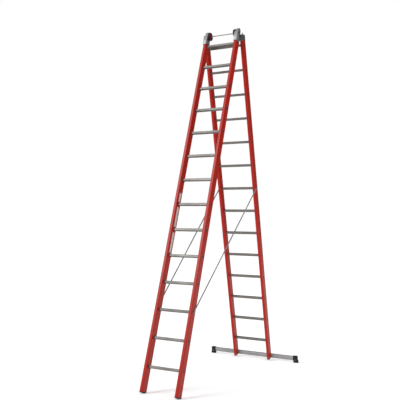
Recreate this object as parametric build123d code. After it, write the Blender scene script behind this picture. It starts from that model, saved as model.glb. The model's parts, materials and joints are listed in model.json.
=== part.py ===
from build123d import *
import os
from math import cos, radians, sin

# Two-section combination ladder with fibreglass stiles, standing open as an A-frame.
# Millimetres. +X runs across the ladder, the front section leans out towards -Y, +Z is up.
# Every piece is drawn with the ladder folded flat and upright and the hinge axis on the X axis,
# then turned with its section and set down with the middle of its footprint at the origin.

# Driving dimensions of the whole ladder
PIVOT_HEIGHT = 3798.0
HALF_ANGLE = 16.5
RUNG_COUNT = 14
RUNG_PITCH = 280.0
PIVOT_ABOVE_FRONT_RUNG = 79.1
PIVOT_ABOVE_REAR_RUNG = 66.5
SECTION_OFFSET = 39.2
FRONT_SPACING = 385.0
REAR_SPACING = 453.4

# Stiles: hollow fibreglass box profile
STILE_WIDTH = 33.4
STILE_DEPTH = 86.0
STILE_WALL = 3.2
STILE_CORNER = 5.5
STILE_CORNER_IN = 2.5
STILE_BOTTOM = -3957.0
REAR_STILE_BOTTOM = -3942.0
FRONT_STILE_TOP = -31.0
REAR_STILE_TOP = -20.0
PLUG_GAP = 0.15

# Rungs: hollow ribbed aluminium tube, let through both stile walls
RUNG_DEPTH = 30.0
RUNG_HEIGHT = 28.0
RUNG_CORNER = 5.0
RUNG_WALL = 2.2
RUNG_RECESS = 0.2
GROOVE_COUNT = 5
GROOVE_PITCH = 4.4
GROOVE_WIDTH = 1.7
GROOVE_DEPTH = 0.9
RUNG_HOLE_GAP = 0.1
RUNG_PLUG_LENGTH = 12.0
RUNG_PLUG_SINK = 1.0

# Rubber feet and plugs at the stile bottoms
FOOT_WIDTH = 34.0
FOOT_DEPTH = 89.0
FOOT_RADIUS = 110.0
FOOT_SPIGOT = 50.0
SOLE_FLAT = 0.8
GROUND_SIZE = 4000.0
END_PLUG_FLANGE = 7.0
END_PLUG_SPIGOT = 14.0

# Stabiliser bar across the foot of the rear section
BAR_LENGTH = 1120.0
BAR_DEPTH = 25.0
BAR_HEIGHT = 50.0
BAR_WALL = 2.6
BAR_CORNER = 3.0
BAR_NOTCH_GAP = 0.1
BAR_CENTRE_Z = -3924.0
BAR_GROOVES = 3
BAR_GROOVE_PITCH = 12.0
BAR_GROOVE_WIDTH = 3.0
BAR_GROOVE_DEPTH = 0.9
END_FOOT_INNER_X = 535.0
END_FOOT_WIDTH = 56.0
END_FOOT_STEP = 5.0
END_FOOT_DEPTH = 36.0
END_FOOT_ABOVE_BAR = 5.0
BAR_BOLT_RADIUS = 4.0
BAR_BOLT_SPREAD = 24.0
BAR_BOLT_FLATS = 13.0
BAR_BOLT_HEAD = 6.0
BOLT_STICK_OUT = 2.0
BOLT_GAP = 0.1

# Hinge heads
GUIDE_BOTTOM = -64.0
GUIDE_BACK_BOTTOM = -8.0
GUIDE_BACK_Y = -8.0
HEAD_TOP = 50.0
FRONT_SPIGOT_BOTTOM = -56.0
REAR_SPIGOT_BOTTOM = -48.0
SLIDE_GAP = 0.4
GUIDE_WALL = 6.2
GUIDE_FRONT_WALL = 6.0
GUIDE_LIP_WALL = 5.0
GUIDE_INNER_LIP_REACH = 18.0
GUIDE_REAR_LIP_REACH = 18.0
GUIDE_REAR_WALL = 5.4
LUG_RADIUS = 14.0
HINGE_GAP = 0.5
PIVOT_RADIUS = 6.0
RUNNING_GAP = 0.06
PIVOT_HEAD_RADIUS = 9.0
PIVOT_HEAD_THICKNESS = 2.6
NUT_THICKNESS = 7.0
NUT_FLATS = 19.0
REAR_HEAD_NOSE = 18.0
REAR_HEAD_CORNER = 12.0
REAR_HEAD_CAP = 5.0

# Latch levers that hold the hinge
LATCH_THICKNESS = 9.0
LATCH_SLOT_WIDTH = 10.0
LATCH_CENTRE_X = 229.0
LATCH_PIVOT_Z = 30.0
LATCH_TIP_Z = 66.0
LATCH_ROOT_RADIUS = 8.0
LATCH_TIP_RADIUS = 5.0
LATCH_SLOT_LENGTH = 30.0
LATCH_SLOT_BOTTOM = 18.0
LATCH_PIN_RADIUS = 3.0

# Front heads, axle and wall wheels
EAR_TOP = 118.0
EAR_RADIUS = 28.6
HEAD_COLLAR = 12.0
AXLE_Z = 60.4
AXLE_RADIUS = 6.0
AXLE_END = 216.5
WHEEL_CENTRE_X = 158.0
WHEEL_RADIUS = 47.0
TYRE_WIDTH = 22.0
TYRE_ROUNDING = 6.0
HUB_RADIUS = 33.0
HUB_WIDTH = 20.0
HUB_RECESS_RADIUS = 26.0
HUB_RECESS_DEPTH = 4.0
HUB_BOSS_RADIUS = 11.0
HUB_BOSS_WIDTH = 28.0
HUB_HOLE_RADIUS = 4.0
HUB_HOLES = 6
HUB_HOLE_CIRCLE = 18.5

# Straps that stop the sections from spreading
STRAP_WIDTH = 20.0
STRAP_THICKNESS = 1.8
STRAP_END = 16.0
STRAP_FRONT_RUNG = 3
STRAP_REAR_RUNG = 8
STRAP_STANDOFF = 1.9
ANCHOR_RADIUS = 4.0
WASHER_RADIUS = 13.0
WASHER_THICKNESS = 2.0
ANCHOR_GAP = 0.45
ANCHOR_FLATS = 13.0
ANCHOR_HEAD = 5.0

FRONT_Y = -SECTION_OFFSET
REAR_Y = SECTION_OFFSET
FRONT_X = FRONT_SPACING / 2
REAR_X = REAR_SPACING / 2
FRONT_FACE_X = FRONT_X + STILE_WIDTH / 2
FRONT_INNER_X = FRONT_X - STILE_WIDTH / 2
REAR_FACE_X = REAR_X + STILE_WIDTH / 2
REAR_INNER_X = REAR_X - STILE_WIDTH / 2
BAR_Y = REAR_Y + STILE_DEPTH / 2 - BAR_DEPTH / 2
NOTCH_Y = BAR_Y - BAR_DEPTH / 2 - BAR_NOTCH_GAP
GUIDE_X = FRONT_FACE_X + SLIDE_GAP
GUIDE_OUTER_X = GUIDE_X + GUIDE_WALL
REAR_HEAD_X = GUIDE_OUTER_X + HINGE_GAP


def rung_z(y, number):
    """Height of a rung's centre in the section at that depth, counted from 1 at the foot."""
    top = PIVOT_ABOVE_FRONT_RUNG if y == FRONT_Y else PIVOT_ABOVE_REAR_RUNG
    return -top - (RUNG_COUNT - number) * RUNG_PITCH


def round_bottom_z(y, radius, angle):
    """Height of a round sole's centre that sinks it a little into the ground when the section is open."""
    return (radius - SOLE_FLAT - PIVOT_HEIGHT - y * sin(radians(angle))) / cos(radians(angle))


def flattened(part, angle):
    """A sole cut flat where it meets the ground with its section open."""
    ground = Pos(0, 0, -PIVOT_HEIGHT - GROUND_SIZE / 2) * Box(GROUND_SIZE, GROUND_SIZE, GROUND_SIZE)
    return part - Rot(-angle, 0, 0) * ground


def side_plate(face, x_low, x_high):
    """A side-view face, drawn with Y to the right and Z up, given its thickness along X."""
    return extrude(Plane.YZ.offset(x_low) * face, amount=x_high - x_low)


def upright(face, z_low, z_high):
    """A plan-view face given its height along Z."""
    return extrude(Plane.XY.offset(z_low) * face, amount=z_high - z_low)


def block(x_low, x_high, y_low, y_high, z_low, z_high):
    """A plain block between two corners."""
    centre = Pos((x_low + x_high) / 2, (y_low + y_high) / 2, (z_low + z_high) / 2)
    return centre * Box(x_high - x_low, y_high - y_low, z_high - z_low)


def rod_x(radius, x_low, x_high, y, z):
    """A round rod along X."""
    return Pos((x_low + x_high) / 2, y, z) * Rot(0, 90, 0) * Cylinder(radius, x_high - x_low)


def rod_y(radius, y_low, y_high, x, z):
    """A round rod along Y."""
    return Pos(x, (y_low + y_high) / 2, z) * Rot(90, 0, 0) * Cylinder(radius, y_high - y_low)


def hex_x(flats, x_low, x_high, y, z):
    """A hexagon nut or bolt head with its axis along X."""
    return side_plate(Pos(y, z) * RegularPolygon(flats / 2, 6, major_radius=False), x_low, x_high)


def hex_y(flats, y_low, y_high, x, z):
    """A hexagon nut or bolt head with its axis along Y."""
    return Pos(x, 0, z) * Rot(0, 0, 90) * hex_x(flats, y_low, y_high, 0, 0)


def mirrored(part):
    """The left-hand copy of a right-hand piece."""
    return mirror(part, about=Plane.YZ)


def both_sides(part):
    """The right-hand piece and its left-hand copy as separate solids of one group."""
    return [part, mirrored(part)]


# Stiles and what closes their ends

def stile(x, y, z_bottom, z_top):
    """Hollow stile with a hole through both side walls at every rung."""
    outer = RectangleRounded(STILE_WIDTH, STILE_DEPTH, STILE_CORNER)
    inner = RectangleRounded(STILE_WIDTH - 2 * STILE_WALL, STILE_DEPTH - 2 * STILE_WALL, STILE_CORNER_IN)
    tube = upright(Pos(x, y) * (outer - inner), z_bottom, z_top)
    hole = RectangleRounded(RUNG_DEPTH + 2 * RUNG_HOLE_GAP, RUNG_HEIGHT + 2 * RUNG_HOLE_GAP, RUNG_CORNER)
    half = STILE_WIDTH / 2 + 1
    holes = [side_plate(Pos(y, rung_z(y, n)) * hole, x - half, x + half) for n in range(1, RUNG_COUNT + 1)]
    return tube - holes


def rear_stile():
    """Rear stile, with its back cut away for the stabiliser bar and drilled for the bolts."""
    y_low = REAR_Y - STILE_DEPTH / 2 - 1
    y_high = REAR_Y + STILE_DEPTH / 2 + 1
    holes = [rod_y(BAR_BOLT_RADIUS + BOLT_GAP, y_low, y_high, REAR_X, z) for z in bar_bolt_heights()]
    tube = stile(REAR_X, REAR_Y, REAR_STILE_BOTTOM, REAR_STILE_TOP) - holes
    return tube - block(REAR_INNER_X - 1, REAR_FACE_X + 1, NOTCH_Y, y_high, REAR_STILE_BOTTOM - 1,
                        BAR_CENTRE_Z + BAR_HEIGHT / 2 + BAR_NOTCH_GAP)


def spigot(x, y, z_low, z_high):
    """The part of a casting or plug that fits inside a stile."""
    width = STILE_WIDTH - 2 * STILE_WALL - 2 * PLUG_GAP
    depth = STILE_DEPTH - 2 * STILE_WALL - 2 * PLUG_GAP
    return upright(Pos(x, y) * RectangleRounded(width, depth, STILE_CORNER_IN), z_low, z_high)


def front_foot():
    """Rubber boot with a rounded sole under a front stile."""
    sole_z = round_bottom_z(FRONT_Y, FOOT_RADIUS, -HALF_ANGLE)
    height = STILE_BOTTOM - (sole_z - FOOT_RADIUS)
    body = Pos(FRONT_Y, STILE_BOTTOM - height / 2) * Rectangle(FOOT_DEPTH, height)
    side = body & Pos(FRONT_Y, sole_z) * Circle(FOOT_RADIUS)
    boot = side_plate(side, FRONT_X - FOOT_WIDTH / 2, FRONT_X + FOOT_WIDTH / 2)
    corners = boot.edges().filter_by(Axis.Z)
    boot = fillet(corners, STILE_CORNER)
    boot += spigot(FRONT_X, FRONT_Y, STILE_BOTTOM, STILE_BOTTOM + FOOT_SPIGOT)
    return flattened(boot, -HALF_ANGLE)


def rear_stile_plug():
    """Dark plug that closes the bottom of a rear stile in front of the stabiliser bar."""
    front = REAR_Y - STILE_DEPTH / 2
    y_high = NOTCH_Y - PLUG_GAP
    flange = upright(Pos(REAR_X, REAR_Y) * RectangleRounded(STILE_WIDTH, STILE_DEPTH, STILE_CORNER),
                     REAR_STILE_BOTTOM - END_PLUG_FLANGE, REAR_STILE_BOTTOM)
    plug = flange + spigot(REAR_X, REAR_Y, REAR_STILE_BOTTOM, REAR_STILE_BOTTOM + END_PLUG_SPIGOT)
    plug -= rod_y(BAR_BOLT_RADIUS + BOLT_GAP, front - 1, NOTCH_Y, REAR_X, bar_bolt_heights()[0])
    return plug & block(REAR_INNER_X, REAR_FACE_X, front, y_high, STILE_BOTTOM, BAR_CENTRE_Z)


# Rungs

def rung_outline():
    """Outer outline of a rung, with fine grooves along its tread and its underside."""
    outline = RectangleRounded(RUNG_DEPTH, RUNG_HEIGHT, RUNG_CORNER)
    first = -(GROOVE_COUNT - 1) / 2
    groove = Rectangle(GROOVE_WIDTH, 2 * GROOVE_DEPTH)
    for index in range(GROOVE_COUNT):
        y = (first + index) * GROOVE_PITCH
        outline -= Pos(y, RUNG_HEIGHT / 2) * groove
        outline -= Pos(y, -RUNG_HEIGHT / 2) * groove
    return outline


def rung_hollow(gap):
    """Inside outline of a rung, made smaller by a gap for what fits in it."""
    width = RUNG_DEPTH - 2 * RUNG_WALL - 2 * gap
    height = RUNG_HEIGHT - 2 * RUNG_WALL - 2 * gap
    return RectangleRounded(width, height, RUNG_CORNER - RUNG_WALL)


def rung(face_x, y, number):
    """One rung, ending just inside the outer faces of the stiles."""
    half = face_x - RUNG_RECESS
    return side_plate(Pos(y, rung_z(y, number)) * (rung_outline() - rung_hollow(0)), -half, half)


def rung_plug(face_x, y, number):
    """Plastic plug in the right-hand end of a rung."""
    x_high = face_x - RUNG_PLUG_SINK
    return side_plate(Pos(y, rung_z(y, number)) * rung_hollow(PLUG_GAP), x_high - RUNG_PLUG_LENGTH, x_high)


def rung_plugs(face_x, y, strap_rung):
    """Plugs for all rungs but the one whose ends hold the straps."""
    numbers = [n for n in range(1, RUNG_COUNT + 1) if n != strap_rung]
    return [piece for n in numbers for piece in both_sides(rung_plug(face_x, y, n))]


# Stabiliser bar

def bar_bolt_heights():
    """Heights of the two bolts that hold the bar to each rear stile."""
    return [BAR_CENTRE_Z - BAR_BOLT_SPREAD / 2, BAR_CENTRE_Z + BAR_BOLT_SPREAD / 2]


def stabiliser_bar():
    """Hollow ribbed bar across the back of the rear stiles."""
    outline = RectangleRounded(BAR_DEPTH, BAR_HEIGHT, BAR_CORNER)
    groove = Rectangle(2 * BAR_GROOVE_DEPTH, BAR_GROOVE_WIDTH)
    for index in range(BAR_GROOVES):
        z = (index - (BAR_GROOVES - 1) / 2) * BAR_GROOVE_PITCH
        outline -= Pos(BAR_DEPTH / 2, z) * groove
        outline -= Pos(-BAR_DEPTH / 2, z) * groove
    outline -= Rectangle(BAR_DEPTH - 2 * BAR_WALL, BAR_HEIGHT - 2 * BAR_WALL)
    bar = side_plate(Pos(BAR_Y, BAR_CENTRE_Z) * outline, -BAR_LENGTH / 2, BAR_LENGTH / 2)
    y_low = BAR_Y - BAR_DEPTH
    y_high = BAR_Y + BAR_DEPTH
    holes = [rod_y(BAR_BOLT_RADIUS + BOLT_GAP, y_low, y_high, x, z)
             for x in (-REAR_X, REAR_X) for z in bar_bolt_heights()]
    return bar - holes


def stabiliser_foot():
    """Rubber end foot that caps the bar and reaches down to the ground."""
    radius = END_FOOT_DEPTH / 2
    round_z = round_bottom_z(BAR_Y, radius, HALF_ANGLE)
    bar_bottom = BAR_CENTRE_Z - BAR_HEIGHT / 2
    top = BAR_CENTRE_Z + BAR_HEIGHT / 2 + END_FOOT_ABOVE_BAR
    inner = END_FOOT_INNER_X
    outer = END_FOOT_INNER_X + END_FOOT_WIDTH
    cap = block(inner, outer, BAR_Y - radius, BAR_Y + radius, bar_bottom, top)
    cap = fillet(cap.edges().filter_by(Axis.Z), END_FOOT_ABOVE_BAR)
    cap = fillet(cap.faces().sort_by(Axis.Z)[-1].edges(), END_FOOT_ABOVE_BAR / 2)
    pad = Pos(BAR_Y, (bar_bottom + round_z) / 2) * Rectangle(END_FOOT_DEPTH, bar_bottom - round_z)
    pad += Pos(BAR_Y, round_z) * Circle(radius)
    foot = cap + side_plate(pad, inner + END_FOOT_STEP, outer + END_FOOT_STEP)
    socket = side_plate(Pos(BAR_Y, BAR_CENTRE_Z) * RectangleRounded(
        BAR_DEPTH + 2 * PLUG_GAP, BAR_HEIGHT + 2 * PLUG_GAP, BAR_CORNER), inner - 1, BAR_LENGTH / 2 + 1)
    return flattened(foot - socket, HALF_ANGLE)


def stabiliser_bolt(z):
    """Bolt through the bar and the rear stile, with its head behind the bar and a nut in front."""
    y_nut = REAR_Y - STILE_DEPTH / 2
    y_head = BAR_Y + BAR_DEPTH / 2
    bolt = rod_y(BAR_BOLT_RADIUS, y_nut - BAR_BOLT_HEAD - BOLT_STICK_OUT, y_head + BOLT_STICK_OUT, REAR_X, z)
    bolt += hex_y(BAR_BOLT_FLATS, y_head, y_head + BAR_BOLT_HEAD, REAR_X, z)
    return bolt + hex_y(BAR_BOLT_FLATS, y_nut - BAR_BOLT_HEAD, y_nut, REAR_X, z)


def stabiliser_bolts():
    """All four bolts."""
    return [piece for z in bar_bolt_heights() for piece in both_sides(stabiliser_bolt(z))]


# Hinge: rear heads, guide heads, pivot bolts and latch levers

def rear_head():
    """Casting on a rear stile that holds the hinge pivot and the latch lever."""
    back = REAR_Y + STILE_DEPTH / 2
    front = REAR_Y - STILE_DEPTH / 2
    nose_centre = Pos((back - REAR_HEAD_NOSE) / 2, (HEAD_TOP + REAR_STILE_TOP) / 2)
    side = nose_centre * RectangleRounded(back + REAR_HEAD_NOSE, HEAD_TOP - REAR_STILE_TOP, REAR_HEAD_CORNER)
    side += Pos(REAR_Y, REAR_STILE_TOP / 2) * Rectangle(STILE_DEPTH, -REAR_STILE_TOP)
    head = side_plate(side, REAR_HEAD_X, REAR_FACE_X)
    head += block(REAR_INNER_X, REAR_FACE_X, front, back, REAR_STILE_TOP, REAR_STILE_TOP + REAR_HEAD_CAP)
    head += spigot(REAR_X, REAR_Y, REAR_SPIGOT_BOTTOM, REAR_STILE_TOP)
    head -= rod_x(PIVOT_RADIUS + RUNNING_GAP, REAR_HEAD_X - 1, REAR_FACE_X + 1, 0, 0)
    half_slot = LATCH_SLOT_WIDTH / 2
    head -= block(LATCH_CENTRE_X - half_slot, LATCH_CENTRE_X + half_slot, REAR_Y - LATCH_SLOT_LENGTH / 2,
                  REAR_Y + LATCH_SLOT_LENGTH / 2, LATCH_SLOT_BOTTOM, HEAD_TOP + 1)
    pin_hole = rod_x(LATCH_PIN_RADIUS + RUNNING_GAP, REAR_HEAD_X - 1, REAR_FACE_X + 1, REAR_Y, LATCH_PIVOT_Z)
    return head - pin_hole


def guide_head():
    """Bracket that wraps a front stile, lets it slide and swings on the pivot bolt.

    It is cut back beside the rear stile, which stands next to the front one.
    """
    front = FRONT_Y - STILE_DEPTH / 2 - SLIDE_GAP
    back = FRONT_Y + STILE_DEPTH / 2 + SLIDE_GAP
    inner = FRONT_INNER_X - SLIDE_GAP
    y_low = front - GUIDE_FRONT_WALL
    y_high = back + GUIDE_REAR_WALL
    head = block(GUIDE_X, GUIDE_OUTER_X, y_low, GUIDE_BACK_Y, GUIDE_BOTTOM, HEAD_TOP)
    head += block(GUIDE_X, GUIDE_OUTER_X, GUIDE_BACK_Y, y_high, GUIDE_BACK_BOTTOM, HEAD_TOP)
    head += block(inner - GUIDE_LIP_WALL, GUIDE_OUTER_X, y_low, front, GUIDE_BOTTOM, HEAD_TOP)
    head += block(inner - GUIDE_LIP_WALL, inner, y_low, y_low + GUIDE_INNER_LIP_REACH, GUIDE_BOTTOM, HEAD_TOP)
    head += block(GUIDE_X - GUIDE_REAR_LIP_REACH, GUIDE_OUTER_X, back, y_high, GUIDE_BACK_BOTTOM, HEAD_TOP)
    head += rod_x(LUG_RADIUS, GUIDE_X, GUIDE_OUTER_X, 0, 0)
    head -= rod_x(PIVOT_RADIUS + RUNNING_GAP, GUIDE_X - 1, GUIDE_OUTER_X + 1, 0, 0)
    recess = PIVOT_HEAD_THICKNESS + 2 * SLIDE_GAP
    return head - rod_x(PIVOT_HEAD_RADIUS + SLIDE_GAP, GUIDE_X - 1, GUIDE_X + recess, 0, 0)


def pivot_bolt():
    """Hinge bolt: a low head sunk in the guide head, and a nut outside the rear head."""
    bolt = rod_x(PIVOT_RADIUS, GUIDE_X + SLIDE_GAP, REAR_FACE_X + NUT_THICKNESS + 2, 0, 0)
    bolt += rod_x(PIVOT_HEAD_RADIUS, GUIDE_X + SLIDE_GAP, GUIDE_X + SLIDE_GAP + PIVOT_HEAD_THICKNESS, 0, 0)
    return bolt + hex_x(NUT_FLATS, REAR_FACE_X, REAR_FACE_X + NUT_THICKNESS, 0, 0)


def latch_pin():
    """Pin that the latch lever turns on."""
    return rod_x(LATCH_PIN_RADIUS, REAR_HEAD_X + 1, REAR_FACE_X - 1, REAR_Y, LATCH_PIVOT_Z)


def hinge_pins():
    """Pivot bolts and latch pins of both sides."""
    return both_sides(pivot_bolt()) + both_sides(latch_pin())


def latch():
    """Latch lever standing up out of the rear head."""
    root = Pos(REAR_Y, LATCH_PIVOT_Z) * Circle(LATCH_ROOT_RADIUS)
    tip = Pos(REAR_Y, LATCH_TIP_Z) * Circle(LATCH_TIP_RADIUS)
    side = make_hull(root.edges() + tip.edges())
    half = LATCH_THICKNESS / 2
    lever = side_plate(side, LATCH_CENTRE_X - half, LATCH_CENTRE_X + half)
    return lever - rod_x(LATCH_PIN_RADIUS + RUNNING_GAP, LATCH_CENTRE_X - half - 1,
                         LATCH_CENTRE_X + half + 1, REAR_Y, LATCH_PIVOT_Z)


# Front heads, axle and wheels

def front_head():
    """Casting on a front stile that tapers to a rounded ear, which carries the axle."""
    collar = Pos(FRONT_Y, FRONT_STILE_TOP + HEAD_COLLAR / 2) * Rectangle(STILE_DEPTH, HEAD_COLLAR)
    ear = Pos(FRONT_Y, EAR_TOP - EAR_RADIUS) * Circle(EAR_RADIUS)
    side = make_hull(collar.edges() + ear.edges())
    head = side_plate(side, FRONT_INNER_X, FRONT_FACE_X)
    head = fillet(head.edges().filter_by(Axis.Z), STILE_CORNER_IN)
    head += spigot(FRONT_X, FRONT_Y, FRONT_SPIGOT_BOTTOM, FRONT_STILE_TOP)
    return head - rod_x(AXLE_RADIUS + RUNNING_GAP, FRONT_INNER_X - 1, FRONT_FACE_X + 1, FRONT_Y, AXLE_Z)


def axle_rod():
    """Bare metal rod across both ears."""
    return rod_x(AXLE_RADIUS, -AXLE_END - 1, AXLE_END + 1, FRONT_Y, AXLE_Z)


def axle_nut():
    """Nut on the right-hand end of the axle."""
    nut = hex_x(NUT_FLATS, FRONT_FACE_X + RUNG_RECESS, AXLE_END, FRONT_Y, AXLE_Z)
    return nut - rod_x(AXLE_RADIUS, FRONT_FACE_X, AXLE_END + 1, FRONT_Y, AXLE_Z)


def tyre():
    """Rubber tyre with rounded shoulders."""
    half = TYRE_WIDTH / 2
    ring = rod_x(WHEEL_RADIUS, WHEEL_CENTRE_X - half, WHEEL_CENTRE_X + half, FRONT_Y, AXLE_Z)
    ring = fillet(ring.edges().filter_by(GeomType.CIRCLE), TYRE_ROUNDING)
    return ring - rod_x(HUB_RADIUS, WHEEL_CENTRE_X - half - 1, WHEEL_CENTRE_X + half + 1, FRONT_Y, AXLE_Z)


def wheel_hub():
    """Moulded hub with a boss on the axle and a ring of holes in its web."""
    half = HUB_WIDTH / 2
    boss = HUB_BOSS_WIDTH / 2
    hub = rod_x(HUB_RADIUS, WHEEL_CENTRE_X - half, WHEEL_CENTRE_X + half, FRONT_Y, AXLE_Z)
    for side in (-1, 1):
        face = WHEEL_CENTRE_X + side * half
        depth = side * HUB_RECESS_DEPTH
        x_low, x_high = sorted((face - depth, face + depth))
        hub -= rod_x(HUB_RECESS_RADIUS, x_low, x_high, FRONT_Y, AXLE_Z)
    hub += rod_x(HUB_BOSS_RADIUS, WHEEL_CENTRE_X - boss, WHEEL_CENTRE_X + boss, FRONT_Y, AXLE_Z)
    holes = [side_plate(Pos(FRONT_Y, AXLE_Z) * spot * Circle(HUB_HOLE_RADIUS),
                        WHEEL_CENTRE_X - half, WHEEL_CENTRE_X + half)
             for spot in PolarLocations(HUB_HOLE_CIRCLE, HUB_HOLES)]
    hub -= holes
    return hub - rod_x(AXLE_RADIUS + RUNNING_GAP, WHEEL_CENTRE_X - boss - 1, WHEEL_CENTRE_X + boss + 1,
                       FRONT_Y, AXLE_Z)


# Straps and their anchors

def strap_anchor(face_x, y, number):
    """Insert in a rung's end with a bolt, a backing washer, a front washer and a head."""
    z = rung_z(y, number)
    washer_x = face_x + STRAP_STANDOFF + STRAP_THICKNESS + ANCHOR_GAP
    head_x = washer_x + WASHER_THICKNESS
    anchor = side_plate(Pos(y, z) * rung_hollow(PLUG_GAP), face_x - RUNG_PLUG_LENGTH, face_x)
    anchor += rod_x(WASHER_RADIUS, face_x, face_x + STRAP_STANDOFF - ANCHOR_GAP, y, z)
    anchor += rod_x(ANCHOR_RADIUS, face_x, head_x, y, z)
    anchor += rod_x(WASHER_RADIUS, washer_x, head_x, y, z)
    return anchor + hex_x(ANCHOR_FLATS, head_x, head_x + ANCHOR_HEAD, y, z)


def strap_point(face_x, y, number, angle):
    """Middle of a strap's end in the open ladder, measured from the hinge axis."""
    point = Vector(face_x + STRAP_STANDOFF + STRAP_THICKNESS / 2, y, rung_z(y, number))
    return point.rotate(Axis.X, angle)


def strap():
    """Right-hand strap, pulled straight between its anchors."""
    start = strap_point(FRONT_FACE_X, FRONT_Y, STRAP_FRONT_RUNG, -HALF_ANGLE)
    end = strap_point(REAR_FACE_X, REAR_Y, STRAP_REAR_RUNG, HALF_ANGLE)
    run = end - start
    across = run.cross(Vector(1, 0, 0)).normalized()
    plane = Plane(origin=(start + end) * 0.5, x_dir=run, z_dir=run.cross(across) * -1)
    outline = RectangleRounded(run.length + 2 * STRAP_END, STRAP_WIDTH, STRAP_WIDTH / 2 - 1)
    hole = Circle(ANCHOR_RADIUS + ANCHOR_GAP)
    outline -= Pos(run.length / 2, 0) * hole
    outline -= Pos(-run.length / 2, 0) * hole
    print("strap length between its bolts", round(run.length, 1), "mm")
    return extrude(plane * outline, STRAP_THICKNESS / 2, both=True)


def left_and_right(name, part):
    """The two nodes of a handed pair."""
    return {name + "_left": mirrored(part), name + "_right": part}


def front_parts():
    """Every piece that leans with the front section."""
    parts = left_and_right("front_stile", stile(FRONT_X, FRONT_Y, STILE_BOTTOM, FRONT_STILE_TOP))
    for n in range(1, RUNG_COUNT + 1):
        parts[f"front_rung_{n:02d}"] = rung(FRONT_FACE_X, FRONT_Y, n)
    parts["front_rung_plugs"] = Compound(rung_plugs(FRONT_FACE_X, FRONT_Y, STRAP_FRONT_RUNG))
    parts |= left_and_right("front_foot", front_foot())
    parts |= left_and_right("front_head", front_head())
    parts |= left_and_right("guide_head", guide_head())
    parts |= left_and_right("tyre", tyre())
    parts |= left_and_right("wheel_hub", wheel_hub())
    parts["axle_rod"] = axle_rod()
    parts["axle_nuts"] = Compound(both_sides(axle_nut()))
    anchor = strap_anchor(FRONT_FACE_X, FRONT_Y, STRAP_FRONT_RUNG)
    parts["front_strap_anchors"] = Compound(both_sides(anchor))
    return parts


def rear_parts():
    """Every piece that leans with the rear section."""
    parts = left_and_right("rear_stile", rear_stile())
    for n in range(1, RUNG_COUNT + 1):
        parts[f"rear_rung_{n:02d}"] = rung(REAR_FACE_X, REAR_Y, n)
    parts["rear_rung_plugs"] = Compound(rung_plugs(REAR_FACE_X, REAR_Y, STRAP_REAR_RUNG))
    parts["rear_stile_plugs"] = Compound(both_sides(rear_stile_plug()))
    parts |= left_and_right("rear_head", rear_head())
    parts["hinge_pins"] = Compound(hinge_pins())
    parts |= left_and_right("latch", latch())
    parts["stabiliser_bar"] = stabiliser_bar()
    parts |= left_and_right("stabiliser_foot", stabiliser_foot())
    parts["stabiliser_bolts"] = Compound(stabiliser_bolts())
    anchor = strap_anchor(REAR_FACE_X, REAR_Y, STRAP_REAR_RUNG)
    parts["rear_strap_anchors"] = Compound(both_sides(anchor))
    return parts


def main():
    """Build the open ladder, set it down on the origin and write one STEP per node."""
    ladder = {name: Rot(-HALF_ANGLE, 0, 0) * part for name, part in front_parts().items()}
    ladder |= {name: Rot(HALF_ANGLE, 0, 0) * part for name, part in rear_parts().items()}
    ladder |= left_and_right("strap", strap())
    box = Compound(list(ladder.values())).bounding_box()
    set_down = Pos(-box.center().X, -box.center().Y, -box.min.Z)
    os.makedirs("parts", exist_ok=True)
    for name, part in ladder.items():
        export_step(set_down * part, f"parts/{name}.step")
    print("hinge axis at y", round(-box.center().Y, 4), "z", round(-box.min.Z, 4), "mm")
    print("nodes", len(ladder))


main()
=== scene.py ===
import json
from math import pi, radians

import bmesh
import bpy
import numpy as np
from mathutils import Matrix, Vector


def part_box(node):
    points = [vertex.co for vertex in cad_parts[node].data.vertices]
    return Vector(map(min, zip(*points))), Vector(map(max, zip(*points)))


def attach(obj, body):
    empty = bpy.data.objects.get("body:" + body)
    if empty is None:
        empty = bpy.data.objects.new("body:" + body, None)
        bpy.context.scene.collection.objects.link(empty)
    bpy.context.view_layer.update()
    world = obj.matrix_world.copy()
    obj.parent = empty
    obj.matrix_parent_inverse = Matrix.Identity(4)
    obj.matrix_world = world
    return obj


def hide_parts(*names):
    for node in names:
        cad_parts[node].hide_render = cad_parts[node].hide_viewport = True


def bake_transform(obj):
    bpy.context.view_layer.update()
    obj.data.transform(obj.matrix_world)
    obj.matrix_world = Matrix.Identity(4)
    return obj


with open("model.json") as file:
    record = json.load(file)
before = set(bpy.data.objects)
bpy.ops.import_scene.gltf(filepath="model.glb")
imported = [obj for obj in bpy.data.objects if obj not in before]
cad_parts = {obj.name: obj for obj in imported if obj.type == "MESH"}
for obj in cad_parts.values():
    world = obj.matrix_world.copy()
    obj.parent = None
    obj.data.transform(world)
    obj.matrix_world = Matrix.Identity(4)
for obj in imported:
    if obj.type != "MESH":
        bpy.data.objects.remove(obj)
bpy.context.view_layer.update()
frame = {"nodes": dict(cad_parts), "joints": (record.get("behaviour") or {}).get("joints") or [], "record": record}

# The ladder stands open. Pieces are modelled folded and upright, with the hinge axis on the X axis,
# and then lean with their section. Everything is in metres.

NODES = frame["nodes"]
JOINTS = {joint["name"]: joint for joint in frame["joints"]}
HINGE = Vector(JOINTS["spread"]["pos_m"])
HALF_ANGLE = radians(JOINTS["spread"]["range_deg"][1]) / 2
LEAN = {"front": -HALF_ANGLE, "rear": HALF_ANGLE}
SIDES = {"left": -1, "right": 1}

bpy.ops.object.select_all(action="DESELECT")


# Where things are

def stand(section):
    """The matrix that leans an upright piece with its section."""
    return Matrix.Translation(HINGE) @ Matrix.Rotation(LEAN[section], 4, "X")


def points_of(obj):
    """An object's vertices as an array."""
    flat = np.zeros(len(obj.data.vertices) * 3, np.float32)
    obj.data.vertices.foreach_get("co", flat)
    return flat.reshape(-1, 3).astype(float)


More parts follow.
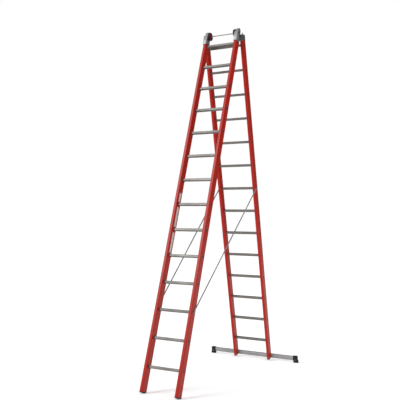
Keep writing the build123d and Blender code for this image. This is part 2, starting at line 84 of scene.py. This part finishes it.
def upright_box(node, section):
    """Lowest and highest corners of a node with its section folded upright."""
    turn = np.array(stand(section).inverted())
    points = points_of(NODES[node]) @ turn[:3, :3].T + turn[:3, 3]
    return Vector(points.min(axis=0)), Vector(points.max(axis=0))


def middle(box):
    """The point halfway between a box's two corners."""
    return (box[0] + box[1]) / 2


# Modelling helpers

MERGE_DISTANCE = 0.00001
FLAT_ANGLE = 1.0


def named(name):
    """Name the object that an operator has just made."""
    piece = bpy.context.active_object
    piece.name = name
    piece.data.name = name
    return piece


def only(piece):
    """Select one object and make it the active one."""
    bpy.ops.object.select_all(action="DESELECT")
    piece.select_set(True)
    bpy.context.view_layer.objects.active = piece


def freeze(piece):
    """Put an object's place, turn and scale into its mesh."""
    only(piece)
    bpy.ops.object.transform_apply(location=True, rotation=True, scale=True)
    return piece


def apply_all(piece):
    """Apply every modifier."""
    only(piece)
    for modifier in list(piece.modifiers):
        bpy.ops.object.modifier_apply(modifier=modifier.name)
    return piece


def soften(piece, width, segments=2, angle=30):
    """Round the sharp edges."""
    bevel = piece.modifiers.new("edges", "BEVEL")
    bevel.width = width
    bevel.segments = segments
    bevel.limit_method = "ANGLE"
    bevel.angle_limit = radians(angle)
    bevel.use_clamp_overlap = True
    return apply_all(piece)


def smooth(piece, angle=35):
    """Smooth shading that keeps the sharp edges."""
    only(piece)
    bpy.ops.object.shade_smooth_by_angle(angle=radians(angle))
    return piece


def choose(piece, test):
    """In edit mode, select only the faces that pass a test of centre and normal."""
    bpy.ops.mesh.select_mode(type="FACE")
    bpy.ops.mesh.select_all(action="DESELECT")
    mesh = bmesh.from_edit_mesh(piece.data)
    for face in mesh.faces:
        face.select_set(bool(test(face.calc_center_median(), face.normal)))
    bmesh.update_edit_mesh(piece.data)


def block(name, low, high):
    """A box between two corners, as a start."""
    low, high = Vector(low), Vector(high)
    bpy.ops.mesh.primitive_cube_add(size=1, location=(low + high) / 2, scale=high - low)
    return freeze(named(name))


def tidy(piece):
    """Merge doubles and turn the faces outwards."""
    only(piece)
    bpy.ops.object.mode_set(mode="EDIT")
    bpy.ops.mesh.select_all(action="SELECT")
    bpy.ops.mesh.remove_doubles(threshold=MERGE_DISTANCE)
    bpy.ops.mesh.normals_make_consistent(inside=False)
    bpy.ops.object.mode_set(mode="OBJECT")
    return piece


def joined(name, pieces):
    """Several objects made one."""
    only(pieces[0])
    for piece in pieces:
        piece.select_set(True)
    bpy.ops.object.join()
    return named(name)


def refined(node, width, segments=2):
    """A copy of a CAD node's mesh, merged and with rounded edges, that stands for the node."""
    source = NODES[node]
    piece = source.copy()
    piece.data = source.data.copy()
    piece.parent = None
    piece.name = node + "_shape"
    piece.data.name = piece.name
    for key in list(piece.keys()):
        del piece[key]
    bpy.context.scene.collection.objects.link(piece)
    only(piece)
    bpy.ops.object.mode_set(mode="EDIT")
    bpy.ops.mesh.select_all(action="SELECT")
    bpy.ops.mesh.remove_doubles(threshold=MERGE_DISTANCE)
    bpy.ops.mesh.dissolve_limited(angle_limit=radians(FLAT_ANGLE))
    bpy.ops.mesh.select_all(action="SELECT")
    bpy.ops.mesh.customdata_custom_splitnormals_clear()
    bpy.ops.object.mode_set(mode="OBJECT")
    soften(piece, width, segments)
    smooth(piece)
    return piece


# Materials

def new_material(name):
    """A node material and its parts."""
    material = bpy.data.materials.new(name)
    material.use_nodes = True
    tree = material.node_tree
    shader = tree.nodes["Principled BSDF"]
    return material, tree, shader


def link(tree, out, into):
    """Join an output socket to an input socket."""
    tree.links.new(out, into)


def coordinates(tree, scale=(1, 1, 1), turn=0.0, uv=False):
    """Object or UV coordinates through a Mapping node."""
    source = tree.nodes.new("ShaderNodeTexCoord")
    mapping = tree.nodes.new("ShaderNodeMapping")
    mapping.inputs["Scale"].default_value = scale
    mapping.inputs["Rotation"].default_value = (turn, 0, 0)
    link(tree, source.outputs["UV" if uv else "Object"], mapping.inputs["Vector"])
    return mapping.outputs["Vector"]


def straightened(tree, turn, scale):
    """Object coordinates turned upright with a leaning section, then scaled."""
    upright = coordinates(tree, turn=turn)
    stretch = tree.nodes.new("ShaderNodeMapping")
    stretch.inputs["Scale"].default_value = scale
    link(tree, upright, stretch.inputs["Vector"])
    return stretch.outputs["Vector"]


def noise(tree, vector, scale, detail, rough):
    """A noise texture."""
    node = tree.nodes.new("ShaderNodeTexNoise")
    node.inputs["Scale"].default_value = scale
    node.inputs["Detail"].default_value = detail
    node.inputs["Roughness"].default_value = rough
    link(tree, vector, node.inputs["Vector"])
    return node.outputs["Fac"]


def toned(colour, factor):
    """A darker or paler tone of a colour."""
    return tuple(min(1.0, factor * channel) for channel in colour)


def ramp(tree, fac, stops):
    """A colour ramp from (position, colour) stops."""
    node = tree.nodes.new("ShaderNodeValToRGB")
    elements = node.color_ramp.elements
    while len(elements) < len(stops):
        elements.new(0.5)
    for element, (position, colour) in zip(elements, stops):
        element.position = position
        element.color = (*colour, 1)
    link(tree, fac, node.inputs["Fac"])
    return node.outputs["Color"]


def mixed(tree, fac, first, second):
    """Mix two colours, each a socket or a plain colour."""
    node = tree.nodes.new("ShaderNodeMix")
    node.data_type = "RGBA"
    for value, name in ((fac, "Factor"), (first, "A"), (second, "B")):
        socket = node.inputs[name]
        if isinstance(value, bpy.types.NodeSocket):
            link(tree, value, socket)
        elif isinstance(value, tuple):
            socket.default_value = (*value, 1)
        else:
            socket.default_value = value
    return node.outputs["Result"]


def spread_range(tree, fac, low, high, start=0.0, end=1.0):
    """Map a texture to a range."""
    node = tree.nodes.new("ShaderNodeMapRange")
    node.inputs["From Min"].default_value = start
    node.inputs["From Max"].default_value = end
    node.inputs["To Min"].default_value = low
    node.inputs["To Max"].default_value = high
    link(tree, fac, node.inputs["Value"])
    return node.outputs["Result"]


def added(tree, first, second, factor=1.0):
    """first plus factor times second."""
    node = tree.nodes.new("ShaderNodeMath")
    node.operation = "MULTIPLY_ADD"
    node.inputs[1].default_value = factor
    link(tree, second, node.inputs[0])
    link(tree, first, node.inputs[2])
    return node.outputs["Value"]


def bumped(tree, shader, height, strength, distance):
    """Fine relief from a height."""
    node = tree.nodes.new("ShaderNodeBump")
    node.inputs["Strength"].default_value = strength
    node.inputs["Distance"].default_value = distance
    link(tree, height, node.inputs["Height"])
    link(tree, node.outputs["Normal"], shader.inputs["Normal"])


DEEP_RED = (0.32, 0.009, 0.004)
STILE_RED = (0.41, 0.015, 0.006)
LIGHT_RED = (0.48, 0.022, 0.009)
FADED_RED = (0.46, 0.025, 0.014)
SCUFF_PINK = (0.55, 0.11, 0.08)
FIBRE_SCALE = (420, 420, 2.2)
FADE_SCALE = (4, 4, 1.1)
SCUFF_SCALE = (60, 60, 9)
RESIN_SPECULAR = 0.17


def fibreglass(section):
    """Red pultruded fibreglass: long glass fibres under a satin resin skin, a little chalked and scuffed."""
    material, tree, shader = new_material(f"red_fibreglass_{section}")
    turn = -LEAN[section]
    fibres = noise(tree, straightened(tree, turn, FIBRE_SCALE), 1.0, detail=5.0, rough=0.6)
    patches = noise(tree, straightened(tree, turn, FADE_SCALE), 1.0, detail=3.0, rough=0.55)
    veil = noise(tree, coordinates(tree), 700.0, detail=2.0, rough=0.6)
    scuffs = noise(tree, straightened(tree, turn, SCUFF_SCALE), 1.0, detail=6.0, rough=0.7)
    red = ramp(tree, fibres, [(0.30, DEEP_RED), (0.55, STILE_RED), (0.78, LIGHT_RED)])
    fading = spread_range(tree, patches, 0.0, 0.30, start=0.35, end=0.75)
    faded = mixed(tree, fading, red, FADED_RED)
    scuffing = spread_range(tree, scuffs, 0.0, 0.30, start=0.66, end=0.80)
    scuffed = mixed(tree, scuffing, faded, SCUFF_PINK)
    link(tree, scuffed, shader.inputs["Base Color"])
    worn = spread_range(tree, added(tree, patches, veil, 0.4), 0.24, 0.42, start=0.4, end=1.0)
    link(tree, worn, shader.inputs["Roughness"])
    shader.inputs["Specular IOR Level"].default_value = RESIN_SPECULAR
    bumped(tree, shader, added(tree, fibres, veil, 0.5), strength=0.22, distance=0.0004)
    return material


DIE_LINE_SCALE = (1.2, 260, 260)
SPOT_SCALE = (7, 30, 30)


def extrusion(name, colour, shine, metallic=1.0):
    """Extruded aluminium with die lines along X, dull spots and hand wear."""
    material, tree, shader = new_material(name)
    lines = noise(tree, coordinates(tree, DIE_LINE_SCALE), 1.0, detail=4.0, rough=0.65)
    spots = noise(tree, coordinates(tree, SPOT_SCALE), 1.0, detail=4.0, rough=0.6)
    grain = noise(tree, coordinates(tree), 900.0, detail=2.0, rough=0.5)
    dark = toned(colour, 0.72)
    metal = ramp(tree, lines, [(0.28, dark), (0.5, colour), (0.76, toned(colour, 1.18))])
    worn = mixed(tree, spread_range(tree, spots, 0.0, 0.5, start=0.45, end=0.75), metal, dark)
    link(tree, worn, shader.inputs["Base Color"])
    shader.inputs["Metallic"].default_value = metallic
    dulled = spread_range(tree, added(tree, spots, lines, 0.5), shine, shine + 0.22, start=0.4, end=1.1)
    link(tree, dulled, shader.inputs["Roughness"])
    bumped(tree, shader, added(tree, lines, grain, 0.25), strength=0.25, distance=0.0003)
    return material


def casting(name, colour, metallic, shine):
    """Tumbled die casting with a fine skin and a few darker pits."""
    material, tree, shader = new_material(name)
    skin = noise(tree, coordinates(tree), 420.0, detail=5.0, rough=0.6)
    cloud = noise(tree, coordinates(tree), 26.0, detail=4.0, rough=0.6)
    base = ramp(tree, cloud, [(0.3, toned(colour, 0.62)), (0.52, colour), (0.75, toned(colour, 1.25))])
    pits = spread_range(tree, skin, 0.0, 0.6, start=0.62, end=0.72)
    link(tree, mixed(tree, pits, base, toned(colour, 0.4)), shader.inputs["Base Color"])
    shader.inputs["Metallic"].default_value = metallic
    dulled = spread_range(tree, cloud, shine, shine + 0.2, start=0.3, end=0.7)
    link(tree, dulled, shader.inputs["Roughness"])
    bumped(tree, shader, skin, strength=0.35, distance=0.0005)
    return material


DUST_TONE = 1.9
DUST_FILM = 0.006
MOULDED_SPECULAR = 0.3


def moulded(name, colour, roughness, grain_scale, strength):
    """Moulded rubber or plastic with a spark-eroded grain and dust in it."""
    material, tree, shader = new_material(name)
    grain = noise(tree, coordinates(tree), grain_scale, detail=3.0, rough=0.6)
    dust = noise(tree, coordinates(tree), 38.0, detail=5.0, rough=0.65)
    pale = tuple(channel * DUST_TONE + DUST_FILM for channel in colour)
    base = ramp(tree, dust, [(0.35, colour), (0.75, pale)])
    link(tree, base, shader.inputs["Base Color"])
    dusty = added(tree, dust, grain, 0.4)
    dulled = spread_range(tree, dusty, roughness - 0.08, roughness + 0.14, start=0.4, end=1.0)
    link(tree, dulled, shader.inputs["Roughness"])
    shader.inputs["Specular IOR Level"].default_value = MOULDED_SPECULAR
    bumped(tree, shader, grain, strength, distance=0.0006)
    return material


ZINC_DARK = (0.17, 0.175, 0.175)
ZINC_GREY = (0.26, 0.265, 0.26)
ZINC_PALE = (0.34, 0.33, 0.30)
TURNING_SCALE = (2600, 160, 160)


def zinc():
    """Zinc-plated steel with a faint bluish bloom and turning marks."""
    material, tree, shader = new_material("zinc_plated_steel")
    bloom = noise(tree, coordinates(tree), 60.0, detail=4.0, rough=0.6)
    marks = noise(tree, coordinates(tree, TURNING_SCALE), 1.0, detail=2.0, rough=0.5)
    base = ramp(tree, bloom, [(0.3, ZINC_DARK), (0.55, ZINC_GREY), (0.75, ZINC_PALE)])
    link(tree, base, shader.inputs["Base Color"])
    shader.inputs["Metallic"].default_value = 1.0
    dulled = spread_range(tree, bloom, 0.24, 0.46, start=0.3, end=0.7)
    link(tree, dulled, shader.inputs["Roughness"])
    bumped(tree, shader, marks, strength=0.15, distance=0.0002)
    return material


LABEL_STAIN = (0.52, 0.46, 0.43)
LABEL_YELLOWED = (0.66, 0.60, 0.57)
LABEL_CLEAN = (0.74, 0.70, 0.66)


def label_film():
    """Pale sticker film, left blank, a little yellowed and rubbed."""
    material, tree, shader = new_material("label_film")
    stains = noise(tree, coordinates(tree), 30.0, detail=5.0, rough=0.65)
    grain = noise(tree, coordinates(tree), 1400.0, detail=1.0, rough=0.5)
    base = ramp(tree, stains, [(0.3, LABEL_STAIN), (0.6, LABEL_YELLOWED), (0.8, LABEL_CLEAN)])
    link(tree, base, shader.inputs["Base Color"])
    rubbed = spread_range(tree, stains, 0.34, 0.55, start=0.3, end=0.7)
    link(tree, rubbed, shader.inputs["Roughness"])
    bumped(tree, shader, grain, strength=0.12, distance=0.0001)
    return material


WEB_PITCH = 0.0022
YARN_DARK = (0.075, 0.080, 0.076)
YARN_GREY = (0.190, 0.197, 0.190)
YARN_PALE = (0.26, 0.265, 0.255)
STRAP_SOIL = (0.10, 0.095, 0.085)
YARN_SHEEN = 0.25


def webbing_cloth():
    """Grey polyester webbing: a twill of warp ribs along the strap crossed by weft rows."""
    material, tree, shader = new_material("grey_webbing")
    rows = coordinates(tree, (1 / WEB_PITCH, 1 / WEB_PITCH, 1), uv=True)
    wave = tree.nodes.new("ShaderNodeTexWave")
    wave.wave_type = "BANDS"
    wave.bands_direction = "DIAGONAL"
    wave.inputs["Scale"].default_value = 0.32
    wave.inputs["Distortion"].default_value = 0.5
    wave.inputs["Detail"].default_value = 2.0
    link(tree, rows, wave.inputs["Vector"])
    ribs = tree.nodes.new("ShaderNodeTexWave")
    ribs.wave_type = "BANDS"
    ribs.bands_direction = "Y"
    ribs.inputs["Scale"].default_value = 0.5
    link(tree, rows, ribs.inputs["Vector"])
    fuzz = noise(tree, rows, 3.0, detail=3.0, rough=0.7)
    soil = noise(tree, coordinates(tree), 6.0, detail=4.0, rough=0.6)
    weave = added(tree, wave.outputs["Fac"], ribs.outputs["Fac"], 0.6)
    yarn = ramp(tree, weave, [(0.15, YARN_DARK), (0.75, YARN_GREY), (1.0, YARN_PALE)])
    soiled = mixed(tree, spread_range(tree, soil, 0.0, 0.45, start=0.4, end=0.75), yarn, STRAP_SOIL)
    link(tree, soiled, shader.inputs["Base Color"])
    link(tree, spread_range(tree, fuzz, 0.72, 0.95), shader.inputs["Roughness"])
    shader.inputs["Sheen Weight"].default_value = YARN_SHEEN
    bumped(tree, shader, added(tree, weave, fuzz, 0.4), strength=0.5, distance=0.0004)
    return material


FLOOR_GLOW = 0.36
FLOOR_DULL = (0.90, 0.90, 0.90)
FLOOR_PALE = (0.94, 0.94, 0.94)


def floor_paint():
    """Pale matt studio floor with a barely visible mottle."""
    material, tree, shader = new_material("studio_floor")
    mottle = noise(tree, coordinates(tree), 1.5, detail=3.0, rough=0.5)
    base = ramp(tree, mottle, [(0.3, FLOOR_DULL), (0.7, FLOOR_PALE)])
    link(tree, base, shader.inputs["Base Color"])
    shader.inputs["Roughness"].default_value = 0.9
    shader.inputs["Emission Color"].default_value = (1, 1, 1, 1)
    shader.inputs["Emission Strength"].default_value = FLOOR_GLOW
    shader.inputs["Specular IOR Level"].default_value = 0.1
    return material


def give(obj, material):
    """Make a material the only one on an object."""
    obj.data.materials.clear()
    obj.data.materials.append(material)


FIBREGLASS = {section: fibreglass(section) for section in LEAN}
RUNG_METAL = extrusion("rung_aluminium", (0.185, 0.176, 0.165), 0.40, metallic=0.85)
BAR_METAL = extrusion("bar_aluminium", (0.36, 0.36, 0.365), 0.38)
HEAD_METAL = casting("head_casting", (0.31, 0.31, 0.32), 0.75, 0.40)
HINGE_METAL = casting("hinge_casting", (0.13, 0.14, 0.13), 0.6, 0.42)
ZINC = zinc()
RUBBER = moulded("foot_rubber", (0.006, 0.006, 0.0065), 0.62, 500.0, 0.35)
TYRE_RUBBER = moulded("tyre_rubber", (0.011, 0.011, 0.012), 0.66, 650.0, 0.3)
HUB_PLASTIC = moulded("hub_plastic", (0.17, 0.006, 0.022), 0.42, 420.0, 0.2)
PLUG_PLASTIC = moulded("plug_plastic", (0.018, 0.017, 0.016), 0.50, 520.0, 0.25)
LABEL = label_film()
WEBBING = webbing_cloth()

CAD_FINISH = {
    "rung_aluminium": RUNG_METAL, "bar_aluminium": BAR_METAL, "head_casting": HEAD_METAL,
    "hinge_casting": HINGE_METAL, "zinc_steel": ZINC, "rubber": RUBBER, "tyre_rubber": TYRE_RUBBER,
    "hub_plastic": HUB_PLASTIC, "plug_plastic": PLUG_PLASTIC,
    "front_fibreglass": FIBREGLASS["front"], "rear_fibreglass": FIBREGLASS["rear"],
}
SLOT_OF = {part["node"]: part["material_slot"] for part in frame["record"]["subparts"]}
for node, obj in NODES.items():
    if SLOT_OF[node] in CAD_FINISH:
        give(obj, CAD_FINISH[SLOT_OF[node]])


def place(piece, section, body, material):
    """Lean a finished upright piece, give it its finish and let it ride on its body."""
    piece.data.transform(stand(section))
    give(piece, material)
    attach(piece, body)


# Straps: flat webbing with a sewn fold at each end

STRAP_WIDTH = 0.020
STRAP_THICK = 0.0016
STRAP_END = 0.016
SELVEDGE = STRAP_THICK * 0.3
BAND_ROWS = 6
REAR_WEB_STEPS = 60
FRONT_WEB_STEPS = 110
END_STEPS = 10
FOLD_STEPS = 8
TAB_LENGTH = 0.048
FOLD_REACH = 0.046
FOLD_SETBACK = 0.001
FOLD_LIFT = STRAP_THICK * 1.02
BEND_SHARE = 0.88
WEB_OVERLAP = 0.0002
TAB_OVERLAP = 0.0005
STITCHES_IN_ROW = 7
STITCH_ROWS = (-0.0065, 0.0, 0.0065)
STITCH_LIFT = STRAP_THICK * 1.5
REAR_STITCH_START = 0.002
FRONT_STITCH_START = 0.050
STITCH_PITCH = 0.0055
STITCH_MARGIN = 0.006
STITCH_LENGTH = 0.0035
STITCH_THICK = 0.0007


def strap_ends(side):
    """Middle of the strap at its rear and at its front bolt."""
    low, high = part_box(f"strap_{side}")
    sign = SIDES[side]
    front = middle(upright_box("front_strap_anchors", "front"))
    rear = middle(upright_box("rear_strap_anchors", "rear"))
    inner_x = min(abs(low[0]), abs(high[0])) + STRAP_THICK / 2
    outer_x = max(abs(low[0]), abs(high[0])) - STRAP_THICK / 2
    front.x = sign * inner_x
    rear.x = sign * outer_x
    return stand("rear") @ rear, stand("front") @ front


def band(name, start, end, steps, lift=0.0):
    """A stretch of webbing on the strap's own line, from start to end along X, with soft selvedges."""
    bpy.ops.mesh.primitive_grid_add(x_subdivisions=steps, y_subdivisions=BAND_ROWS, size=1,
                                    location=((start + end) / 2, 0, lift))
    piece = named(name)
    piece.scale = (end - start, STRAP_WIDTH, 1)
    freeze(piece)
    solid = piece.modifiers.new("thickness", "SOLIDIFY")
    solid.thickness = STRAP_THICK
    solid.offset = 0
    apply_all(piece)
    return soften(piece, SELVEDGE, 2, 60)


def stitches(name, start, lift):
    """A sewn box of thread stitches across a fold."""
    pieces = []
    for row in STITCH_ROWS:
        for index in range(STITCHES_IN_ROW):
            x = start + STITCH_MARGIN + index * STITCH_PITCH
            low = (x, row - STITCH_THICK / 2, lift)
            high = (x + STITCH_LENGTH, row + STITCH_THICK / 2, lift + STITCH_THICK)
            pieces.append(block(f"{name}_{row}_{index}", low, high))
    return pieces


def strap_frame(rear, front):
    """The matrix from the strap's own line, X along it from the rear bolt, to its place."""
    along = (front - rear).normalized()
    across = along.cross(Vector((1, 0, 0))).normalized()
    normal = along.cross(across)
    turn = Matrix((along, across, normal)).transposed().to_4x4()
    return Matrix.Translation(rear) @ turn


def lay_weave(piece):
    """Map the weave in metres along and across a band."""
    weave = piece.data.uv_layers.active.data
    for loop in piece.data.loops:
        weave[loop.index].uv = piece.data.vertices[loop.vertex_index].co.xy


def make_straps():
    """Each strap in three pieces that overlap a little where they meet.

    The rear web follows the folding of the hinge, the front web follows the sliding section, and the sewn
    The sewn front end stays with the front section; the rear web and the front web are not attached to any body
    and keep the open pose. The folds and stitches lie towards -X on both straps: outwards on the left, but into
    the stile on the right.
    """
    for side in SIDES:
        rear, front = strap_ends(side)
        length = (front - rear).length
        bend = length * BEND_SHARE
        tab = length - TAB_LENGTH
        rear_web = band("rear_web", -STRAP_END, bend, REAR_WEB_STEPS)
        rear_fold = band("fold", -STRAP_END + FOLD_SETBACK, FOLD_REACH, FOLD_STEPS, FOLD_LIFT)
        rear_sewn = stitches("rear_stitch", REAR_STITCH_START, STITCH_LIFT)
        rear_part = joined(f"strap_{side}_rear_web", [rear_web, rear_fold] + rear_sewn)
        front_part = band(f"strap_{side}_front_web", bend - WEB_OVERLAP, tab, FRONT_WEB_STEPS)
        end_band = band("end_band", tab - TAB_OVERLAP, length + STRAP_END, END_STEPS)
        front_fold = band("fold", length - FOLD_REACH, length + STRAP_END - FOLD_SETBACK, FOLD_STEPS,
                          FOLD_LIFT)
        front_sewn = stitches("front_stitch", length - FRONT_STITCH_START, STITCH_LIFT)
        end_part = joined(f"strap_{side}_end", [end_band, front_fold] + front_sewn)
        for piece in (rear_part, front_part, end_part):
            lay_weave(piece)
            piece.data.transform(strap_frame(rear, front))
            give(piece, WEBBING)
            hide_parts(f"strap_{side}")
        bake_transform(rear_part)
        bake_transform(front_part)
        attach(end_part, "front_section")


# Labels on the inside of the left front stile

LABEL_THICK = 0.0004
LABEL_WIDTH = 0.036
LABEL_SHIFT = 0.003
LABEL_GAP = 0.030
SHORT_LABEL_GAP = 0.150
LABEL_SPANS = ((5, LABEL_GAP), (6, LABEL_GAP), (7, SHORT_LABEL_GAP))


def make_labels():
    """Three blank stickers between the rungs at eye level."""
    stile = upright_box("front_stile_left", "front")
    y = middle(stile).y + LABEL_SHIFT
    x = stile[1].x
    stickers = []
    for index, (rung, gap_above) in enumerate(LABEL_SPANS):
        low = middle(upright_box(f"front_rung_{rung:02d}", "front")).z + LABEL_GAP
        high = middle(upright_box(f"front_rung_{rung + 1:02d}", "front")).z - gap_above
        near = (x, y - LABEL_WIDTH / 2, low)
        far = (x + LABEL_THICK, y + LABEL_WIDTH / 2, high)
        sticker = block(f"sticker_{index}", near, far)
        stickers.append(soften(sticker, LABEL_THICK * 0.4, 2))
    place(joined("stile_labels", stickers), "front", "front_section", LABEL)


# Tyres

TYRE_STEPS = 72
SHOULDER_RADIUS = 0.00425
TREAD_MARGIN = 0.09
GROOVE_DEPTH = 0.0016
GROOVE_SLOPE = 0.0006


def make_tyre(side):
    """Tyre with round shoulders and a groove round the middle of its tread."""
    box = upright_box(f"tyre_{side}", "front")
    centre = middle(box)
    outer = (box[1].z - box[0].z) / 2
    hub = upright_box(f"wheel_hub_{side}", "front")
    inner = (hub[1].z - hub[0].z) / 2
    width = box[1].x - box[0].x
    rim = centre.z + (outer + inner) / 2

    def on_tread(spot, normal):
        reach = Vector((0, spot.y - centre.y, spot.z - centre.z)).length
        return abs(normal.x) < 0.1 and reach > outer * 0.99

    bpy.ops.mesh.primitive_plane_add(size=1, location=(centre.x, centre.y, rim), rotation=(pi / 2, 0, 0))
    piece = named(f"tyre_{side}_shape")
    piece.scale = (width, outer - inner, 1)
    freeze(piece)
    bpy.ops.object.mode_set(mode="EDIT")
    bpy.ops.mesh.select_all(action="SELECT")
    bpy.ops.mesh.bevel(offset=SHOULDER_RADIUS, segments=5, affect="VERTICES")
    bpy.ops.mesh.select_all(action="SELECT")
    bpy.ops.mesh.delete(type="ONLY_FACE")
    bpy.ops.mesh.select_all(action="SELECT")
    bpy.ops.mesh.spin(steps=TYRE_STEPS, angle=2 * pi, center=centre, axis=(1, 0, 0))
    bpy.ops.object.mode_set(mode="OBJECT")
    tidy(piece)
    soften(piece, SHOULDER_RADIUS / 4, 2, 60)
    only(piece)
    bpy.ops.object.mode_set(mode="EDIT")
    choose(piece, on_tread)
    bpy.ops.mesh.inset(thickness=width * TREAD_MARGIN, depth=0)
    bpy.ops.mesh.inset(thickness=GROOVE_SLOPE, depth=-GROOVE_DEPTH)
    bpy.ops.object.mode_set(mode="OBJECT")
    smooth(piece)
    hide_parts(f"tyre_{side}")
    place(piece, "front", f"wheel_{side}", TYRE_RUBBER)


# Castings, rubber ends and fasteners

CAST_EDGE = 0.0016
GUIDE_EDGE = 0.0011
LATCH_EDGE = 0.0008
RUBBER_EDGE = 0.0016
HUB_EDGE = 0.0006
PLUG_EDGE = 0.0012
BOLT_EDGE = 0.0007
ANCHOR_EDGE = 0.0005


def make_hardware():
    """Shapes as in the CAD, with rounded edges."""
    plan = []
    for side in SIDES:
        plan += [(f"front_head_{side}", CAST_EDGE, "front_section", HEAD_METAL),
                 (f"guide_head_{side}", GUIDE_EDGE, "guide_heads", HEAD_METAL),
                 (f"rear_head_{side}", CAST_EDGE, "rear_section", HINGE_METAL),
                 (f"latch_{side}", LATCH_EDGE, f"latch_{side}", ZINC),
                 (f"front_foot_{side}", RUBBER_EDGE, "front_section", RUBBER),
                 (f"stabiliser_foot_{side}", RUBBER_EDGE, "rear_section", RUBBER),
                 (f"wheel_hub_{side}", HUB_EDGE, f"wheel_{side}", HUB_PLASTIC)]
    plan += [("rear_stile_plugs", PLUG_EDGE, "rear_section", PLUG_PLASTIC),
             ("stabiliser_bolts", BOLT_EDGE, "rear_section", ZINC),
             ("hinge_pins", BOLT_EDGE, "rear_section", ZINC),
             ("axle_nuts", BOLT_EDGE, "front_section", ZINC),
             ("front_strap_anchors", ANCHOR_EDGE, "front_section", ZINC),
             ("rear_strap_anchors", ANCHOR_EDGE, "rear_section", ZINC)]
    for node, width, body, material in plan:
        piece = refined(node, width)
        give(piece, material)
        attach(piece, body)
        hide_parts(node)


# Screws in the rubber end feet

SCREW_RADIUS = 0.0050
SCREW_HEIGHT = 0.0036
SCREW_SIDES = 24
SOCKET_RADIUS = 0.0026
SOCKET_TAPER = 0.0001


def make_end_foot_screws():
    """A socket screw in the front face of each rubber end foot."""
    screws = []
    for side in SIDES:
        low, high = upright_box(f"stabiliser_foot_{side}", "rear")
        centre = middle((low, high))
        centre.y = low.y
        bpy.ops.mesh.primitive_cylinder_add(vertices=SCREW_SIDES, radius=SCREW_RADIUS, depth=SCREW_HEIGHT,
                                            location=centre, rotation=(pi / 2, 0, 0))
        screw = freeze(named(f"end_foot_screw_{side}"))
        soften(screw, SCREW_RADIUS / 6, 3)
        only(screw)
        bpy.ops.object.mode_set(mode="EDIT")
        choose(screw, lambda spot, normal: normal.y < -0.99)
        bpy.ops.mesh.inset(thickness=SCREW_RADIUS - SOCKET_RADIUS, depth=0)
        bpy.ops.mesh.inset(thickness=SOCKET_TAPER, depth=-SCREW_HEIGHT / 3)
        bpy.ops.object.mode_set(mode="OBJECT")
        screws.append(smooth(screw))
    place(joined("end_foot_screws", screws), "rear", "rear_section", ZINC)


# Stage, light and camera

CAMERA_PLACE = Vector((2.911, HINGE.y - 6.138, 1.450))
CAMERA_YAW = radians(27.163)
CAMERA_PITCH = radians(4.156)
CAMERA_ROLL = radians(1.790)
LENS = 53.75
SENSOR_WIDTH = 36.0
FAR_CLIP = 1000.0
FLOOR_SIZE = 400.0
FLOOR_DROP = 0.0005
SURROUNDINGS = (0.10, 0.10, 0.105)
BACKDROP = (1.0, 1.0, 1.0)
SUNS = [("key", (-0.51, -0.67, 0.54), 1.75, 24), ("fill", (0.75, -0.60, 0.28), 0.6, 45),
        ("overhead", (0.10, 0.15, 0.98), 1.2, 70)]


def make_stage():
    """Pale floor, a backdrop that only the camera sees as white, a soft key, a weak fill and a top light."""
    bpy.ops.mesh.primitive_plane_add(size=FLOOR_SIZE, location=(0, 0, -FLOOR_DROP))
    floor = named("studio_floor")
    give(floor, floor_paint())
    world = bpy.data.worlds.new("studio")
    bpy.context.scene.world = world
    world.use_nodes = True
    tree = world.node_tree
    seen = tree.nodes.new("ShaderNodeLightPath").outputs["Is Camera Ray"]
    background = tree.nodes["Background"]
    link(tree, mixed(tree, seen, SURROUNDINGS, BACKDROP), background.inputs["Color"])
    for name, direction, strength, angle in SUNS:
        light = bpy.data.lights.new(name, "SUN")
        light.energy = strength
        light.angle = radians(angle)
        lamp = bpy.data.objects.new(name, light)
        lamp.rotation_euler = (-Vector(direction)).to_track_quat("-Z", "Y").to_euler()
        bpy.context.scene.collection.objects.link(lamp)


def make_camera():
    """Camera at a standing person's height, in front and to the right of the ladder."""
    data = bpy.data.cameras.new("camera")
    data.lens = LENS
    data.sensor_width = SENSOR_WIDTH
    data.clip_end = FAR_CLIP
    camera = bpy.data.objects.new("camera", data)
    turn = Matrix.Rotation(CAMERA_YAW, 4, "Z") @ Matrix.Rotation(pi / 2 + CAMERA_PITCH, 4, "X")
    turn = turn @ Matrix.Rotation(CAMERA_ROLL, 4, "Z")
    camera.location = CAMERA_PLACE
    camera.rotation_euler = turn.to_euler()
    bpy.context.scene.collection.objects.link(camera)
    bpy.context.scene.camera = camera


make_camera()
make_stage()
bpy.context.scene.view_settings.view_transform = "Standard"
make_straps()
make_labels()
for wheel_side in SIDES:
    make_tyre(wheel_side)
make_hardware()
make_end_foot_screws()
